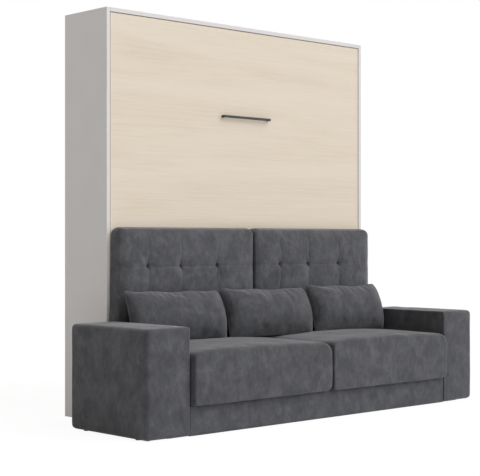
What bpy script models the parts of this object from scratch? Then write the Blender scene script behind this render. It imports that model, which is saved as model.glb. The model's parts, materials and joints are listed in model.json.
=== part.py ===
# Wall bed with sofa: a tall shallow cabinet whose front tips down as a double bed,
# with an upholstered sofa standing between its feet and the room.
# Metres, +Z up. The cabinet's front edges lie in the plane y = 0 of the empty that
# carries every piece, +Y runs into the cabinet towards the wall, and +X is to the right
# of someone who faces the sofa.

import math

import bmesh
import bpy
import numpy as np
from mathutils import Matrix, Vector

# General fits
touch_gap = 0.0003        # left between two pieces that rest on each other
cut_overrun = 0.004       # how far a cutter runs past the face that it cuts
board_edge = 0.001        # rounding of a laminated board's edges
steel_edge = 0.0015       # rounding of a steel section's edges
fine_sides = 20           # flat sides of a small round piece
bend_sides = 6            # flat sides of a half round end
sharp_angle = math.radians(35.0)
quarter_turn = math.pi / 2

# Mattress and bed frame
mattress_width = 1.800
mattress_length = 1.990
mattress_thickness = 0.150
mattress_round = 0.060
slat_thickness = 0.008
slat_width = 0.060
slat_count = 14
slat_overhang = 0.004     # from a slat base's end to the frame's outer face
slat_holder = 0.030       # width of the strip that ties the slats' ends
rail_width = 0.040
rail_depth = 0.030
rail_wall = 0.002
frame_inset = 0.003       # from the door's ends to the frame's ends

# Cabinet
cabinet_board = 0.022
cabinet_depth = 0.375
side_space = 0.072        # from the mattress's side to the cabinet's inner face
reveal = 0.004            # shadow gap round the door
mattress_end_gap = 0.011  # from the mattress's foot end to the door's top edge
back_rail_thickness = 0.016
upper_rail_height = 0.180
plinth_thickness = 0.018
swing_floor_room = 0.035  # from the top of the plinth and the lower rail to the swinging head end
wall_clearance = 0.002    # kept between the swinging head end and the wall
wall_bracket_leg = 0.050
wall_bracket_width = 0.040
wall_bracket_steel = 0.003
wall_bracket_inset = 0.300    # from the cabinet's inner face to the bracket's middle

# Door and handle
door_thickness = 0.016
door_setback = 0.002
handle_length = 0.365
handle_height = 0.014
handle_bar = 0.006
handle_reach = 0.026
handle_post = 0.012
handle_z = 1.6565
handle_edge = 0.0012

# Main pivot, with its plate on the cabinet side and its block on the bed frame
pivot_pin_radius = 0.008
pivot_pin_clearance = 0.002   # from the pin to the back of the door
pivot_hole_clearance = 0.0006
plate_thickness = 0.0025
plate_width = 0.085
plate_height = 0.160
plate_front = 0.006
pivot_block_width = 0.0340
pivot_block_depth = 0.042
pivot_block_height = 0.100

# Gas struts in the side spaces
strut_line = 0.025            # from the cabinet's inner face to the strut's axis
strut_bracket_y = 0.250
strut_bracket_z = 0.950
strut_bracket_height = 0.120
strut_bracket_width = 0.040
strut_stud_radius = 0.005
strut_stud_drop = 0.250       # from the main pivot down to the bed's stud
strut_hole_clearance = 0.0005
strut_radius = 0.009
strut_wall = 0.002
strut_gland_length = 0.012
strut_rod_radius = 0.004
strut_gland_clearance = 0.0004
strut_piston_length = 0.012
strut_piston_clearance = 0.0005
strut_eye_thickness = 0.008
strut_neck = 0.014            # from an eye's centre to the round body
strut_end_space = 0.056       # from the rod's eye to the body when fully pushed in
strut_overlap = 0.030         # of the rod that stays in the body when fully drawn out

# Folding foot: two bent arms, their brackets and one crossbar
foot_arm_thickness = 0.012
foot_arm_width = 0.025
foot_pivot_inset = 0.047      # from the door's top edge down to the foot's pivot
foot_pivot_rise = 0.0697      # from the frame's back face to the foot's pivot
foot_offset = 0.075           # of the leg past its pivot, which carries it clear of the door
foot_bar_radius = 0.0125
foot_bar_wall = 0.002
foot_floor_gap = 0.001
foot_stow_gap = 0.0015        # from the stowed crossbar to the mattress
foot_pin_radius = 0.006
foot_hole_clearance = 0.0005
foot_pin_end = 0.002
foot_bracket_thickness = 0.003
foot_bracket_width = 0.060
foot_bracket_margin = 0.018

# Sofa
arm_width = 0.268
arm_height = 0.541
arm_reach = 0.656
arm_stand_off = 0.040
arm_overlap = 0.008           # of an arm's inner face behind the cabinet's outer face
arm_round = 0.018
arm_padding = 0.020
arm_board = 0.016
glide_height = 0.0025
glide_radius = 0.014
glide_inset = 0.080
base_gap = 0.002              # shadow line between the front of the seat base and the arms
base_front_thickness = 0.036
base_rail_thickness = 0.030
base_round = 0.008
deck_thickness = 0.014
seat_base_height = 0.150
seat_height = 0.430
seat_overhang = 0.044         # of the seat cushions past the arms and the base
seat_gap = 0.0015             # half of the joint between the two seat cushions
seat_side_gap = 0.002
seat_back_gap = 0.004
seat_round = 0.014
seat_corner = 0.035           # rounding of a seat cushion's top corners, seen from the front
seat_crown = 0.026
seat_fall_power = 1.5         # how the crown falls off from front to back
seat_front_share = 0.85       # of the crown, which is left at the front edge
seat_bulge = 0.006
seat_draw = 0.003
seat_clearance = 0.014        # between the seat and the underside of the opened bed

# Loose back cushions
back_cushion_height = 0.617
back_cushion_rim = 0.074      # thickness of the boxed edge
back_cushion_puff = 0.030     # how far the middle stands beyond the rim
back_cushion_corner = 0.032
back_cushion_edge = 0.014
back_cushion_gap = 0.002
back_cushion_side_gap = 0.002
tuft_pitch = 0.247
tuft_steps = (-1.0, -0.06, 1.0)   # places of the tufts in a row, in pitches
tuft_shift = -0.052           # from the cushion's middle to the middle of the outer tufts
tuft_drop = 0.210             # from the cushion's top to the upper row
tuft_row_pitch = 0.177
tuft_rows = 2
tuft_depth = 0.028
tuft_spread = 0.017
fold_depth = 0.006
fold_spread = 0.011
seam_depth = 0.006
seam_spread = 0.010
side_pinch = 0.005

# Loose lumbar pillows
pillow_width = 0.628
pillow_height = 0.268
pillow_thickness = 0.165
pillow_count = 3
pillow_pitch = 0.657
pillow_lean = math.radians(17.5)
pillow_bow = 0.014            # how far the pillow's middle bends forward of its top and bottom seams
pillow_draw = 0.005
pillow_power = 0.55           # gives the pillow's section its full, knife-edged curve

# Places that follow from the sizes above
half_mattress = mattress_width / 2
inner_x = half_mattress + side_space
outer_x = inner_x + cabinet_board
door_half = inner_x - reveal
door_back = door_setback + door_thickness
frame_front = door_back + touch_gap
frame_back = frame_front + rail_depth
slat_front = frame_back + touch_gap
slat_back = slat_front + slat_thickness
mattress_front = slat_back + touch_gap
mattress_back = mattress_front + mattress_thickness
pivot_y = door_back + pivot_pin_clearance + pivot_pin_radius
pivot_z = seat_height + seat_clearance + pivot_y - door_setback
swing_radius = cabinet_depth - pivot_y - wall_clearance
door_tail = math.sqrt(swing_radius ** 2 - (pivot_y - door_setback) ** 2)
door_bottom = pivot_z - door_tail
plinth_height = pivot_z - swing_radius - swing_floor_room
corner_rise = mattress_back - mattress_round - pivot_y
corner_tail = math.sqrt((swing_radius - mattress_round) ** 2 - corner_rise ** 2)
mattress_bottom = pivot_z - corner_tail - mattress_round
mattress_top = mattress_bottom + mattress_length
door_top = mattress_top + mattress_end_gap
cabinet_height = door_top + reveal + cabinet_board
frame_bottom = door_bottom + frame_inset
frame_top = door_top - frame_inset
arm_inner = outer_x - arm_overlap
arm_outer = arm_inner + arm_width
base_half = arm_inner - base_gap
seat_reach = arm_reach + seat_overhang
front_y = (seat_reach - cabinet_depth) / 2

# The origin of the whole part is the middle of its footprint on the floor
for old in list(bpy.data.objects):
    bpy.data.objects.remove(old, do_unlink=True)
origin = bpy.data.objects.new("cabinet_front", None)
origin.location = (0, front_y, 0)
bpy.context.scene.collection.objects.link(origin)

# Finishes: colour, roughness, metallic
finishes = {
    "white_board": ((0.86, 0.86, 0.85), 0.45, 0.0),
    "pale_oak": ((0.76, 0.66, 0.53), 0.55, 0.0),
    "black_metal": ((0.02, 0.02, 0.022), 0.40, 0.8),
    "grey_steel": ((0.30, 0.31, 0.32), 0.45, 0.9),
    "bright_steel": ((0.62, 0.63, 0.64), 0.25, 1.0),
    "beech": ((0.72, 0.56, 0.38), 0.60, 0.0),
    "plywood": ((0.66, 0.52, 0.36), 0.70, 0.0),
    "ticking": ((0.88, 0.87, 0.84), 0.90, 0.0),
    "slate_velvet": ((0.095, 0.10, 0.108), 0.85, 0.0),
    "black_plastic": ((0.03, 0.03, 0.03), 0.50, 0.0),
}


def give_finish(piece, finish):
    """Each piece has a material of its own, in one of the finishes above."""
    colour, roughness, metallic = finishes[finish]
    material = bpy.data.materials.new(piece.name + "_" + finish)
    material.use_nodes = True
    shader = material.node_tree.nodes["Principled BSDF"]
    shader.inputs["Base Color"].default_value = (*colour, 1.0)
    shader.inputs["Roughness"].default_value = roughness
    shader.inputs["Metallic"].default_value = metallic
    piece.data.materials.append(material)


def place(name, points, faces, finish, location=(0, 0, 0), turn=0.0, smooth=True):
    """Make a named piece from points and faces, with its faces pointing out."""
    mesh = bpy.data.meshes.new(name)
    mesh.from_pydata([tuple(map(float, point)) for point in points], [], faces)
    shell = bmesh.new()
    shell.from_mesh(mesh)
    bmesh.ops.recalc_face_normals(shell, faces=shell.faces)
    if shell.calc_volume(signed=True) < 0:
        bmesh.ops.reverse_faces(shell, faces=shell.faces)
    shell.to_mesh(mesh)
    shell.free()
    if smooth:
        mesh.shade_smooth()
        mesh.set_sharp_from_angle(angle=sharp_angle)
    piece = bpy.data.objects.new(name, mesh)
    piece.parent = origin
    piece.location = location
    piece.rotation_euler = (turn, 0, 0)
    bpy.context.scene.collection.objects.link(piece)
    if finish:
        give_finish(piece, finish)
    return piece


def soften(piece, width, segments=2):
    """Round every edge of a piece."""
    bevel = piece.modifiers.new("edges", "BEVEL")
    bevel.width = width
    bevel.segments = segments
    bevel.limit_method = "ANGLE"
    bevel.angle_limit = sharp_angle
    return piece


def block(name, x, y, z, finish, edge=0.0, segments=1):
    """A box between two values on each axis."""
    middle = Vector([sum(pair) / 2 for pair in (x, y, z)])
    points = [Vector((a, b, c)) - middle for a in x for b in y for c in z]
    faces = [(0, 1, 3, 2), (4, 6, 7, 5), (0, 4, 5, 1), (2, 3, 7, 6), (0, 2, 6, 4), (1, 5, 7, 3)]
    piece = place(name, points, faces, finish, middle, smooth=False)
    return soften(piece, edge, segments) if edge else piece


def prism(name, outline, along, span, finish, edge=0.0):
    """A flat outline drawn out along one axis; the outline's pairs are the other two axes in order."""
    points = []
    for end in span:
        for first, second in outline:
            point = [first, second]
            point.insert(along, end)
            points.append(point)
    count = len(outline)
    faces = [tuple(range(count)), tuple(range(2 * count - 1, count - 1, -1))]
    for i in range(count):
        j = (i + 1) % count
        faces.append((i, j, j + count, i + count))
    piece = place(name, points, faces, finish)
    return soften(piece, edge, 1) if edge else piece


def hollow_bar(name, outer, inner, along, span, finish):
    """A tube with open ends between two outlines of as many points."""
    points = []
    for outline in (outer, inner):
        for end in span:
            for first, second in outline:
                point = [first, second]
                point.insert(along, end)
                points.append(point)
    count = len(outer)
    faces = []
    for i in range(count):
        j = (i + 1) % count
        faces.append((i, j, j + count, i + count))
        faces.append((i + 2 * count, j + 2 * count, j + 3 * count, i + 3 * count))
        faces.append((i, j, j + 2 * count, i + 2 * count))
        faces.append((i + count, j + count, j + 3 * count, i + 3 * count))
    return place(name, points, faces, finish)


def rectangle(first, second, inset=0.0):
    """The corners of a rectangle between two pairs, drawn in by an inset."""
    a, b = first[0] + inset, first[1] - inset
    c, d = second[0] + inset, second[1] - inset
    return [(a, c), (b, c), (b, d), (a, d)]


def circle(centre, radius, sides=fine_sides):
    """Points round a circle, in the plane of an outline."""
    angles = [2 * math.pi * (i + 0.5) / sides for i in range(sides)]
    return [(centre[0] + radius * math.cos(a), centre[1] + radius * math.sin(a)) for a in angles]


def turned(profile, sides=fine_sides):
    """Points and faces of a closed profile of radius and height, spun round the Z axis."""
    rings = []
    points = []
    for radius, height in profile:
        if radius == 0:
            rings.append([len(points)] * sides)
            points.append((0, 0, height))
            continue
        rings.append(list(range(len(points), len(points) + sides)))
        points += [(*pair, height) for pair in circle((0, 0), radius, sides)]
    faces = []
    for ring, following in zip(rings, rings[1:] + rings[:1]):
        for i in range(sides):
            j = (i + 1) % sides
            corners = list(dict.fromkeys((ring[i], ring[j], following[j], following[i])))
            if len(corners) > 2:
                faces.append(corners)
    return points, faces


def as_guide(piece):
    """Keep a solid that only cuts or joins out of sight."""
    piece.hide_render = True
    piece.display_type = "WIRE"
    return piece


def guide_solid(name, points, faces, location=(0, 0, 0), turn=0.0):
    """A solid from points and faces that only cuts or joins."""
    return as_guide(place(name, points, faces, None, location, turn, smooth=False))


def combine(piece, guide, operation="DIFFERENCE"):
    """Cut a guide out of a piece, or join it on."""
    step = piece.modifiers.new(guide.name, "BOOLEAN")
    step.operation = operation
    step.object = guide
    step.solver = "EXACT"
    return piece


def cross_cylinder(name, centre, radius, span, sides=fine_sides):
    """A guide cylinder whose axis runs along X, at a place in Y and Z."""
    points = [(x, y, z) for x in span for y, z in circle(centre, radius, sides)]
    faces = [tuple(range(sides)), tuple(range(2 * sides - 1, sides - 1, -1))]
    faces += [(i, (i + 1) % sides, (i + 1) % sides + sides, i + sides) for i in range(sides)]
    return guide_solid(name, points, faces)


def span_x(side, near, far):
    """Two distances from the middle plane as an ordered pair on one side of it."""
    return tuple(sorted((side * near, side * far)))


sides = (("left", -1), ("right", 1))


def build_cabinet():
    """Two sides, a top and the rails that tie them, with a back that stays open for the swing."""
    for word, side in sides:
        block("cabinet_side_" + word, span_x(side, inner_x, outer_x), (0, cabinet_depth),
              (0, cabinet_height), "white_board", board_edge)
    between = (-inner_x + touch_gap, inner_x - touch_gap)
    top_under = cabinet_height - cabinet_board
    block("cabinet_top", between, (0, cabinet_depth), (top_under, cabinet_height), "white_board", board_edge)
    rail_y = (cabinet_depth - back_rail_thickness, cabinet_depth)
    rail_top = top_under - touch_gap
    block("back_rail_upper", between, rail_y, (rail_top - upper_rail_height, rail_top),
          "white_board", board_edge)
    block("back_rail_lower", between, rail_y, (glide_height, plinth_height), "white_board", board_edge)
    block("plinth", between, (door_setback, door_setback + plinth_thickness),
          (glide_height, plinth_height), "white_board", board_edge)


def build_wall_brackets():
    """Angle brackets in the corner under the top board, where the wall screws go through the rail."""
    back = cabinet_depth - back_rail_thickness - touch_gap
    under = cabinet_height - cabinet_board - touch_gap
    front, low = back - wall_bracket_leg, under - wall_bracket_leg
    outline = [(back, low), (back, under), (front, under), (front, under - wall_bracket_steel),
               (back - wall_bracket_steel, under - wall_bracket_steel), (back - wall_bracket_steel, low)]
    for word, side in sides:
        middle = side * (inner_x - wall_bracket_inset)
        prism("wall_bracket_" + word, outline, 0,
              (middle - wall_bracket_width / 2, middle + wall_bracket_width / 2), "bright_steel")


def build_door():
    """The oak-faced panel that is the front of the closed bed, and its bar handle."""
    block("door_panel", (-door_half, door_half), (door_setback, door_back), (door_bottom, door_top),
          "pale_oak", board_edge)
    end = handle_length / 2
    face = door_setback - touch_gap
    front = door_setback - handle_reach
    inside = front + handle_bar
    outline = [(-end, face), (-end, front), (end, front), (end, face), (end - handle_post, face),
               (end - handle_post, inside), (-end + handle_post, inside), (-end + handle_post, face)]
    prism("door_handle", outline, 2, (handle_z - handle_height / 2, handle_z + handle_height / 2),
          "black_metal", handle_edge)


def build_frame():
    """Steel box sections: two long sides, a head rail, a foot rail and a middle rail."""
    y = (frame_front, frame_back)
    inside = half_mattress - rail_width
    for word, side in sides:
        x = span_x(side, inside, half_mattress)
        hollow_bar("frame_side_" + word, rectangle(x, y), rectangle(x, y, rail_wall), 2,
                   (frame_bottom, frame_top), "grey_steel")
    across = (-inside + touch_gap, inside - touch_gap)
    ends = {"frame_head_rail": (frame_bottom, frame_bottom + rail_width),
            "frame_foot_rail": (frame_top - rail_width, frame_top)}
    for name, z in ends.items():
        hollow_bar(name, rectangle(y, z), rectangle(y, z, rail_wall), 0, across, "grey_steel")
    x = (-rail_width / 2, rail_width / 2)
    hollow_bar("frame_centre_rail", rectangle(x, y), rectangle(x, y, rail_wall), 2,
               (frame_bottom + rail_width + touch_gap, frame_top - rail_width - touch_gap), "grey_steel")


def ladder(name, x_lines, z_lines, y, finish):
    """A flat ladder: two stiles joined by rungs, which fill every other stretch of the Z lines."""
    points = [(x, depth, z) for depth in y for x in x_lines for z in z_lines]
    columns, rows = len(x_lines) - 1, len(z_lines) - 1
    layer = len(x_lines) * len(z_lines)

    def corner(depth, i, j):
        return depth * layer + i * len(z_lines) + j

    def solid(i, j):
        inside = 0 <= i < columns and 0 <= j < rows
        return inside and (i in (0, columns - 1) or j % 2 == 0)

    faces = []
    for i in range(columns):
        for j in range(rows):
            if not solid(i, j):
                continue
            around = [(i, j), (i + 1, j), (i + 1, j + 1), (i, j + 1)]
            faces.append([corner(0, *c) for c in around])
            faces.append([corner(1, *c) for c in reversed(around)])
            beyond = [(i, j - 1), (i + 1, j), (i, j + 1), (i - 1, j)]
            for k, cell in enumerate(beyond):
                if not solid(*cell):
                    a, b = around[k], around[(k + 1) % 4]
                    faces.append([corner(0, *a), corner(0, *b), corner(1, *b), corner(1, *a)])
    used = sorted({index for face in faces for index in face})
    renumber = {index: k for k, index in enumerate(used)}
    return place(name, [points[index] for index in used],
                 [[renumber[index] for index in face] for face in faces], finish, smooth=False)


def build_slats():
    """Two slat bases, left and right, each with its slats tied by the holder strips at their ends."""
    low, high = frame_bottom + slat_overhang, frame_top - slat_overhang
    pitch = (high - low - slat_width) / (slat_count - 1)
    z_lines = [low + i * pitch + edge for i in range(slat_count) for edge in (0, slat_width)]
    for word, side in sides:
        near, far = slat_overhang, half_mattress - slat_overhang
        x_lines = sorted(side * x for x in (near, near + slat_holder, far - slat_holder, far))
        ladder("slat_base_" + word, x_lines, z_lines, (slat_front, slat_back), "beech")


def corner_lines(half, rounding, between):
    """Grid lines across a padded box: finer over the rounding at each end."""
    mid = half - rounding * (1 - math.tan(quarter_turn / 4))
    ends = [half - rounding, mid, half]
    return [-value for value in reversed(ends)] + list(between) + ends


def padded_box(x_lines, y_lines, z_lines, rounding, top_corner=None):
    """Points and faces of a box covered by a grid, with its edges and corners rounded.

    Seen from the front, what lies past the box's core becomes an arc at each corner, of the top
    corner's radius above and of the rounding below. Then the front and back edges are rounded:
    each point is drawn back by the rounding, and moved out again along its own direction.
    """
    axes = [np.array(lines, float) for lines in (x_lines, y_lines, z_lines)]
    last = [len(lines) - 1 for lines in axes]
    index = {}
    points = []

    def corner(i, j, k):
        key = (i, j, k)
        if key not in index:
            index[key] = len(points)
            points.append((axes[0][i], axes[1][j], axes[2][k]))
        return index[key]

    faces = []
    for axis in range(3):
        first, second = [other for other in range(3) if other != axis]
        for end in (0, last[axis]):
            for a in range(last[first]):
                for b in range(last[second]):
                    face = []
                    for da, db in ((0, 0), (1, 0), (1, 1), (0, 1)):
                        place_of = [0, 0, 0]
                        place_of[axis] = end
                        place_of[first] = a + da
                        place_of[second] = b + db
                        face.append(corner(*place_of))
                    faces.append(face)
    x, y, z = np.array(points).T
    half_x, half_y, half_z = [lines[-1] for lines in axes]
    radius = np.where(z > 0, top_corner or rounding, rounding)
    over = np.maximum(np.abs([x, z]) - (np.array([[half_x], [half_z]]) - radius), 0)
    reach = over.max(axis=0)
    direction = np.divide(over, np.hypot(*over), out=np.zeros_like(over), where=reach > 0)
    flat = np.abs([x, z]) - over
    outward = np.maximum(reach - (radius - rounding), 0)
    forward = np.maximum(np.abs(y) - (half_y - rounding), 0)
    shrink = rounding / np.hypot(outward, forward)
    reach = reach - outward + outward * shrink
    across, upward = flat + direction * reach
    along = np.abs(y) - forward + forward * shrink
    return np.stack([np.sign(x) * across, np.sign(y) * along, np.sign(z) * upward], 1), faces


def build_mattress():
    """The mattress lies on the slats, behind the door while the bed is closed."""
    half = (half_mattress, mattress_thickness / 2, mattress_length / 2)
    width_shares = length_shares = (-0.5, 0.0, 0.5)
    lines = [corner_lines(size, mattress_round, [share * size for share in shares])
             for size, shares in zip(half, (width_shares, (0.0,), length_shares))]
    points, faces = padded_box(*lines, mattress_round)
    middle = (0, (mattress_front + mattress_back) / 2, (mattress_bottom + mattress_top) / 2)
    place("mattress", points, faces, "ticking", middle)


def build_pivots():
    """Plate on the cabinet, block and pin on the bed frame, on one axis across the cabinet."""
    axis = (pivot_y, pivot_z)
    block_near = half_mattress + touch_gap
    block_far = block_near + pivot_block_width
    plate_far = inner_x - touch_gap
    plate_near = plate_far - plate_thickness
    for word, side in sides:
        plate = block("pivot_plate_" + word, span_x(side, plate_near, plate_far),
                      (plate_front, plate_front + plate_width),
                      (pivot_z - plate_height / 2, pivot_z + plate_height / 2), "bright_steel")
        hole = cross_cylinder("pivot_hole_" + word, axis, pivot_pin_radius + pivot_hole_clearance,
                              span_x(side, plate_near - cut_overrun, plate_far + cut_overrun))
        combine(plate, hole)
        block("pivot_block_" + word, span_x(side, block_near, block_far),
              (frame_front, frame_front + pivot_block_depth),
              (pivot_z - pivot_block_height / 2, pivot_z + pivot_block_height / 2), "grey_steel", steel_edge)
        start = block_far + touch_gap
        profile = [(0, start), (pivot_pin_radius, start), (pivot_pin_radius, plate_far), (0, plate_far)]
        points, faces = turned(profile)
        place("pivot_pin_" + word, [(side * z, x + pivot_y, y + pivot_z) for x, y, z in points], faces,
              "bright_steel")


def rotated(point, angle):
    """A point in Y and Z, turned about the X axis through the main pivot."""
    y, z = point[0] - pivot_y, point[1] - pivot_z
    return (pivot_y + y * math.cos(angle) - z * math.sin(angle),
            pivot_z + y * math.sin(angle) + z * math.cos(angle))


# Gas strut: its two lengths and slopes, with the bed closed and with it open
strut_stud = ((frame_front + frame_back) / 2, pivot_z - strut_stud_drop)
strut_bracket = (strut_bracket_y, strut_bracket_z)
strut_x = inner_x - strut_line


def strut_run(end):
    """Length of the strut, and its slope about the X axis, when its lower end is at a point."""
    across, down = end[0] - strut_bracket[0], strut_bracket[1] - end[1]
    return math.hypot(across, down), math.atan2(across, down)


strut_closed, strut_slope = strut_run(strut_stud)
strut_open = strut_run(rotated(strut_stud, quarter_turn))[0]
strut_body = strut_open - strut_end_space


def eye_guide(name, middle_x, location, turn):
    """The flat eye at the end of a strut, its axis along X."""
    half = strut_eye_thickness / 2
    points = [(x, y, z) for x in (middle_x - half, middle_x + half)
              for y, z in circle((0, 0), strut_radius)]
    count = fine_sides
    faces = [tuple(range(count)), tuple(range(2 * count - 1, count - 1, -1))]
    faces += [(i, (i + 1) % count, (i + 1) % count + count, i + count) for i in range(count)]
    return guide_solid(name, points, faces, location, turn)


def build_struts():
    """A bracket with its stud on the cabinet, the strut's body and rod, and a stud on the bed frame."""
    bore = strut_radius - strut_wall
    gland = strut_rod_radius + strut_gland_clearance
    gland_top = -strut_body + strut_gland_length
    eye_near = strut_x - strut_eye_thickness / 2
    plate_far = inner_x - touch_gap
    plate_near = plate_far - plate_thickness
    for word, side in sides:
        bracket = block("strut_bracket_" + word, span_x(side, plate_near, plate_far),
                        (strut_bracket_y - strut_bracket_width / 2, strut_bracket_y + strut_bracket_width / 2),
                        (strut_bracket_z - strut_bracket_height / 2, strut_bracket_z + strut_bracket_height / 2),
                        "bright_steel")
        post = cross_cylinder("strut_post_" + word, strut_bracket, strut_stud_radius,
                              span_x(side, eye_near, (plate_near + plate_far) / 2))
        combine(bracket, post, "UNION")

        middle = (0, strut_bracket_y, strut_bracket_z)
        top = -strut_neck / 2
        profile = [(0, top), (strut_radius / 2, top), (strut_radius / 2, -strut_neck),
                   (strut_radius, -strut_neck), (strut_radius, -strut_body), (gland, -strut_body),
                   (gland, gland_top), (bore, gland_top), (bore, -strut_neck - strut_wall),
                   (0, -strut_neck - strut_wall)]
        points, faces = turned(profile)
        body = place("strut_body_" + word, [(x + side * strut_x, y, z) for x, y, z in points], faces,
                     "black_metal", middle, strut_slope)
        combine(body, eye_guide("strut_top_eye_" + word, side * strut_x, middle, strut_slope), "UNION")
        hole = cross_cylinder("strut_top_hole_" + word, strut_bracket, strut_stud_radius + strut_hole_clearance,
                              span_x(side, strut_x - strut_eye_thickness, strut_x + strut_eye_thickness))
        combine(body, hole)

        tip = -strut_body + strut_overlap
        piston = bore - strut_piston_clearance
        profile = [(0, -strut_closed + strut_radius / 2), (strut_rod_radius, -strut_closed + strut_radius / 2),
                   (strut_rod_radius, tip - strut_piston_length), (piston, tip - strut_piston_length),
                   (piston, tip), (0, tip)]
        points, faces = turned(profile)
        rod = place("strut_rod_" + word, [(x + side * strut_x, y, z) for x, y, z in points], faces,
                    "bright_steel", middle, strut_slope)
        low_eye = eye_guide("strut_low_eye_" + word, side * strut_x, (0, *strut_stud), strut_slope)
        combine(rod, low_eye, "UNION")

        points, faces = turned([(0, half_mattress + touch_gap), (strut_stud_radius, half_mattress + touch_gap),
                                (strut_stud_radius, eye_near - touch_gap), (0, eye_near - touch_gap)])
        place("strut_stud_" + word, [(side * z, x + strut_stud[0], y + strut_stud[1]) for x, y, z in points],
              faces, "bright_steel")


# Folding foot: its pivot, and the turn between its stowed place and its standing place
foot_pivot = (frame_back + foot_pivot_rise, door_top - foot_pivot_inset)
foot_leg = pivot_z + foot_pivot[0] - pivot_y - foot_bar_radius - foot_floor_gap
foot_span = math.hypot(foot_offset, foot_leg)
foot_stowed_back = mattress_back + foot_stow_gap + foot_bar_radius - foot_pivot[0]
foot_stowed_angle = math.pi - math.asin(foot_stowed_back / foot_span)
foot_turn = foot_stowed_angle - math.atan2(-foot_leg, foot_offset)
foot_arm_near = half_mattress + foot_bracket_thickness + 2 * touch_gap
foot_arm_far = foot_arm_near + foot_arm_thickness


def foot_place(out, up):
    """A point of the standing foot, given from its pivot, moved to where it is stowed.

    out runs past the foot end and up runs away from the floor while the bed stands open.
    """
    along = out * math.cos(foot_turn) - up * math.sin(foot_turn)
    back = out * math.sin(foot_turn) + up * math.cos(foot_turn)
    return foot_pivot[0] + back, foot_pivot[1] + along


def build_foot():
    """The bent arms that turn round the foot end, their pivots on the frame and the crossbar."""
    half = foot_arm_width / 2
    step = math.pi / bend_sides
    outline = []
    for i in range(bend_sides + 1):
        angle = quarter_turn + i * step
        outline.append((half * math.cos(angle), half * math.sin(angle)))
    outline.append((foot_offset - half, -half))
    for i in range(bend_sides + 1):
        angle = math.pi + i * step
        outline.append((foot_offset + half * math.cos(angle), -foot_leg + half * math.sin(angle)))
    for i in range(bend_sides // 2 + 1):
        angle = i * step
        outline.append((foot_offset + half * math.cos(angle), half * math.sin(angle)))
    stowed = [foot_place(out, up) for out, up in outline]
    bracket_y = (frame_front, foot_pivot[0] + foot_bracket_margin)
    bracket_z = (foot_pivot[1] - foot_bracket_width / 2, foot_pivot[1] + foot_bracket_width / 2)
    for word, side in sides:
        arm = prism("foot_arm_" + word, stowed, 0, span_x(side, foot_arm_near, foot_arm_far), "grey_steel")
        hole = cross_cylinder("foot_hole_" + word, foot_pivot, foot_pin_radius + foot_hole_clearance,
                              span_x(side, foot_arm_near - cut_overrun, foot_arm_far + cut_overrun))
        combine(arm, hole)
        near = half_mattress + touch_gap
        bracket = block("foot_bracket_" + word, span_x(side, near, near + foot_bracket_thickness),
                        bracket_y, (bracket_z[0], min(bracket_z[1], frame_top)), "grey_steel")
        pin = cross_cylinder("foot_pin_" + word, foot_pivot, foot_pin_radius,
                             span_x(side, near + foot_bracket_thickness / 2, foot_arm_far + foot_pin_end))
        combine(bracket, pin, "UNION")
    bar = foot_place(foot_offset, -foot_leg)
    reach = foot_arm_near - touch_gap
    hollow_bar("foot_crossbar", circle(bar, foot_bar_radius), circle(bar, foot_bar_radius - foot_bar_wall), 0,
               (-reach, reach), "grey_steel")


def standing_pad(name, x, y, z, edge, segments):
    """A padded block cut off flat below, so that only its other edges are round."""
    pad_block = block(name, x, y, (z[0] - edge, z[1]), "slate_velvet", edge, segments)
    below = block(name + "_below", (x[0] - cut_overrun, x[1] + cut_overrun),
                  (y[0] - cut_overrun, y[1] + cut_overrun), (z[0] - edge - cut_overrun, z[0]), None)
    return combine(pad_block, as_guide(below))


def build_arms():
    """Each arm is a padded cover, open below, over an inverted channel of boards on two glides."""
    low = glide_height + touch_gap
    y = (-arm_reach, -arm_stand_off)
    for word, side in sides:
        x = span_x(side, arm_inner, arm_outer)
        cover = standing_pad("arm_cover_" + word, x, y, (low, arm_height), arm_round, 3)
        hollow_x = (x[0] + arm_padding, x[1] - arm_padding)
        hollow_y = (y[0] + arm_padding, y[1] - arm_padding)
        hollow_top = arm_height - arm_padding
        hollow = block("arm_hollow_" + word, hollow_x, hollow_y, (low - cut_overrun, hollow_top), None)
        combine(cover, as_guide(hollow))
        a, b = hollow_x[0] + touch_gap, hollow_x[1] - touch_gap
        top = hollow_top - touch_gap
        outline = [(a, low), (a, top), (b, top), (b, low), (b - arm_board, low), (b - arm_board, top - arm_board),
                   (a + arm_board, top - arm_board), (a + arm_board, low)]
        frame_y = (hollow_y[0] + touch_gap, hollow_y[1] - touch_gap)
        prism("arm_frame_" + word, outline, 1, frame_y, "plywood")
        board_middle = side * (arm_outer - arm_padding - touch_gap - arm_board / 2)
        for end, glide_y in (("front", frame_y[0] + glide_inset), ("rear", frame_y[1] - glide_inset)):
            points, faces = turned([(0, 0), (glide_radius, 0), (glide_radius, glide_height), (0, glide_height)])
            place("arm_glide_" + end + "_" + word, points, faces, "black_plastic",
                  (board_middle, glide_y, 0))


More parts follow.
